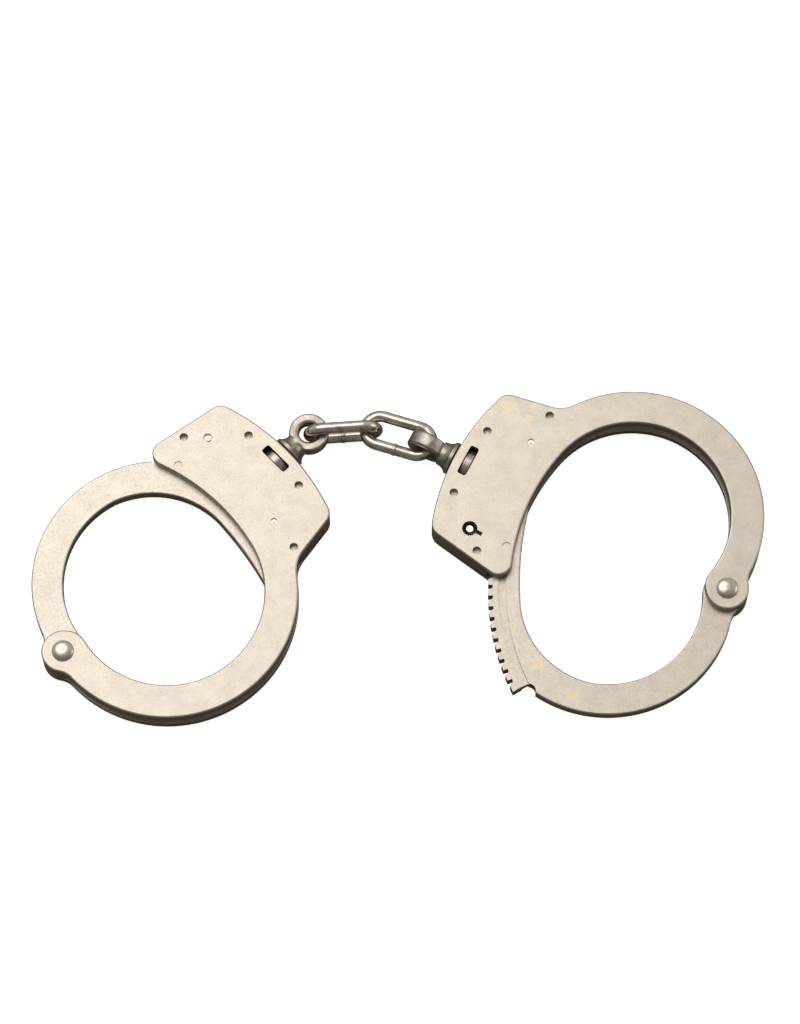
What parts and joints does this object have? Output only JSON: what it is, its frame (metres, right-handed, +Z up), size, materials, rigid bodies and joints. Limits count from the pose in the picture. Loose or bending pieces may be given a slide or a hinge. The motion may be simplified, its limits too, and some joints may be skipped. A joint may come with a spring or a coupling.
{
  "type": "chain-linked handcuffs",
  "caption": "Chain-linked swing-through handcuffs in satin nickel, one cuff closed on its ratchet and one open, with keyholes and swivels.",
  "frame": {"origin": "on the table, under the middle of the two cuffs and their chain", "axes": "+Z up from the table the cuffs lie on, +X from the left cuff to the right cuff, +Y towards the chain side"},
  "size_m": [0.2298, 0.1071, 0.0136],
  "materials": {
    "satin_nickel": "bead-blasted satin",
    "polished_nickel": "polished",
    "turned_steel": "turned",
    "chain_steel": "polished",
    "hardened_steel": "ground",
    "spring_steel": "blued"
  },
  "bodies": {
    "left_link": {"left_chain_link": "chain_steel"},
    "right_link": {"right_chain_link": "chain_steel"},
    "left_eye": {"left_swivel": "turned_steel"},
    "left_frame": {"left_keyhole_cheek": "satin_nickel", "left_plain_cheek": "satin_nickel", "left_case_spacer": "satin_nickel", "left_pivot_rivet": "polished_nickel", "left_cheek_rivets": "satin_nickel", "left_guide_studs": "satin_nickel", "left_key_post": "polished_nickel", "left_lock_bar_pin": "polished_nickel", "left_slide_spring": "spring_steel"},
    "left_arm": {"left_strand": "satin_nickel"},
    "left_pawl": {"left_lock_bar": "hardened_steel", "left_lock_bar_spring": "spring_steel"},
    "left_slide": {"left_locking_slide": "hardened_steel"},
    "right_eye": {"right_swivel": "turned_steel"},
    "right_frame": {"right_keyhole_cheek": "satin_nickel", "right_plain_cheek": "satin_nickel", "right_case_spacer": "satin_nickel", "right_pivot_rivet": "polished_nickel", "right_cheek_rivets": "satin_nickel", "right_guide_studs": "satin_nickel", "right_key_post": "polished_nickel", "right_lock_bar_pin": "polished_nickel", "right_slide_spring": "spring_steel"},
    "right_arm": {"right_strand": "satin_nickel"},
    "right_pawl": {"right_lock_bar": "hardened_steel", "right_lock_bar_spring": "spring_steel"},
    "right_slide": {"right_locking_slide": "hardened_steel"}
  },
  "joints": [
    {"name": "left_eye_swing", "type": "hinge", "parent": "left_link", "child": "left_eye", "pos_m": [-0.02836, 0.04096, 0.0068], "axis": [0, 0, 1], "range_deg": [-70, 15]},
    {"name": "links_swing", "type": "hinge", "parent": "left_link", "child": "right_link", "pos_m": [-0.00671, 0.04248, 0.0068], "axis": [0, 0, 1], "range_deg": [-15, 45]},
    {"name": "right_eye_tilt", "type": "hinge", "parent": "right_link", "child": "right_eye", "pos_m": [0.00928, 0.03696, 0.0068], "axis": [-0.4617, -0.887, 0], "range_deg": [-30, 30]},
    {"name": "left_cuff_spin", "type": "hinge", "parent": "left_eye", "child": "left_frame", "pos_m": [-0.02836, 0.04096, 0.0068], "axis": [0.7206, 0.6934, 0], "continuous": true},
    {"name": "left_strand_swing", "type": "hinge", "parent": "left_frame", "child": "left_arm", "pos_m": [-0.10423, -0.03205, 0.0068], "axis": [0, 0, 1], "continuous": true},
    {"name": "left_lock_bar_lift", "type": "hinge", "parent": "left_frame", "child": "left_pawl", "pos_m": [-0.03906, 0.01026, 0.0068], "axis": [0, 0, -1], "range_deg": [0, 4], "stiffness_Nm_per_rad": 0.35, "springref_deg": -6.88, "deforming": ["left_lock_bar_spring"]},
    {"name": "left_double_lock", "type": "slide", "parent": "left_frame", "child": "left_slide", "axis": [0.6934, -0.7206, 0], "range_m": [-0.003, 0], "deforming": ["left_slide_spring"]},
    {"name": "right_cuff_spin", "type": "hinge", "parent": "right_eye", "child": "right_frame", "pos_m": [0.00928, 0.03696, 0.0068], "axis": [-0.887, 0.4617, 0], "continuous": true},
    {"name": "right_strand_swing", "type": "hinge", "parent": "right_frame", "child": "right_arm", "pos_m": [0.10268, -0.01166, 0.0068], "axis": [0, 0, 1], "continuous": true},
    {"name": "right_lock_bar_lift", "type": "hinge", "parent": "right_frame", "child": "right_pawl", "pos_m": [0.04179, 0.03661, 0.0068], "axis": [0, 0, -1], "range_deg": [0, 4], "stiffness_Nm_per_rad": 0.35, "springref_deg": -6.88, "deforming": ["right_lock_bar_spring"]},
    {"name": "right_double_lock", "type": "slide", "parent": "right_frame", "child": "right_slide", "axis": [0.4617, 0.887, 0], "range_m": [-0.003, 0], "deforming": ["right_slide_spring"]}
  ]
}
